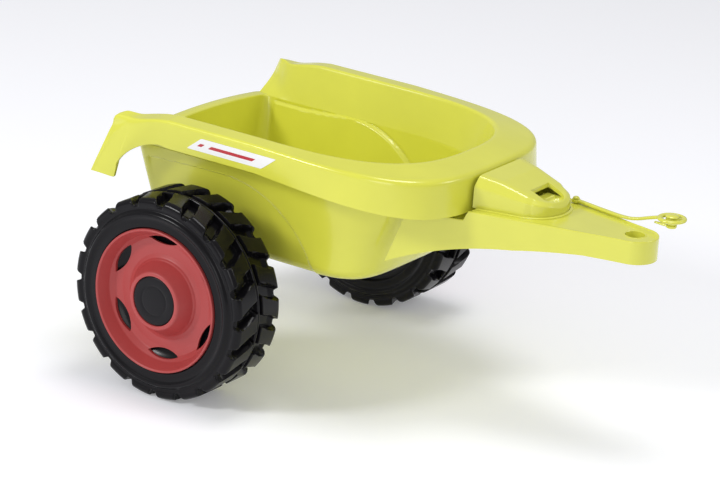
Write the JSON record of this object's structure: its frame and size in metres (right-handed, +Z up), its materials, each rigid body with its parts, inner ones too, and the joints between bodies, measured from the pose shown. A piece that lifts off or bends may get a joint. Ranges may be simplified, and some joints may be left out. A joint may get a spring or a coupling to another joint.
{
  "type": "ride-on tractor trailer",
  "caption": "Tub trailer for a child's ride-on pedal tractor: open tub with a rolled rim and mudguard tails, lugged wheels on a steel axle, tapered drawbar with a hitch hole and a pin strap.",
  "frame": {"origin": "middle of the whole trailer's box, on the ground under it", "axes": "+X forward to the hitch, +Y left, +Z up"},
  "size_m": [0.604, 0.4484, 0.271],
  "materials": {
    "lime_plastic": "gloss moulded polypropylene",
    "black_plastic": "gloss moulded plastic tyre",
    "black_cap": "satin moulded plastic",
    "red_plastic": "satin moulded plastic",
    "natural_plastic": "natural acetal",
    "steel": "zinc plated",
    "label_white": "vinyl label"
  },
  "bodies": {
    "trailer": {"tub": "lime_plastic", "decal_left": "label_white", "decal_right": "label_white", "drawbar": "lime_plastic", "drawbar_screws": "steel", "lock_cover": "lime_plastic", "strap_rivet": "lime_plastic", "axle": "steel", "axle_carrier": "lime_plastic", "carrier_screws": "steel", "axle_spacers": "black_cap", "axle_nuts": "steel"},
    "strap": {"hitch_strap": "lime_plastic"},
    "pin": {"hitch_pin": "lime_plastic"},
    "wheel_left": {"tyre_outer_left": "black_plastic", "tyre_inner_left": "black_plastic", "rim_left": "red_plastic", "hub_cap_left": "black_cap", "bearing_bush_left": "natural_plastic", "rim_bush_left": "natural_plastic"},
    "wheel_right": {"tyre_outer_right": "black_plastic", "tyre_inner_right": "black_plastic", "rim_right": "red_plastic", "hub_cap_right": "black_cap", "bearing_bush_right": "natural_plastic", "rim_bush_right": "natural_plastic"}
  },
  "joints": [
    {"name": "wheel_left_spin", "type": "hinge", "parent": "trailer", "child": "wheel_left", "pos_m": [-0.156, 0, 0.107], "axis": [0, 1, 0], "continuous": true},
    {"name": "wheel_right_spin", "type": "hinge", "parent": "trailer", "child": "wheel_right", "pos_m": [-0.156, 0, 0.107], "axis": [0, 1, 0], "continuous": true},
    {"name": "strap_swing", "type": "hinge", "parent": "trailer", "child": "strap", "pos_m": [0.174, 0.0412, 0.23], "axis": [0, 0, 1], "range_deg": [-22, 70]},
    {"name": "pin_turn", "type": "hinge", "parent": "strap", "child": "pin", "pos_m": [0.287, 0.038, 0.24], "axis": [0, 0, 1], "range_deg": [-90, 90]}
  ]
}
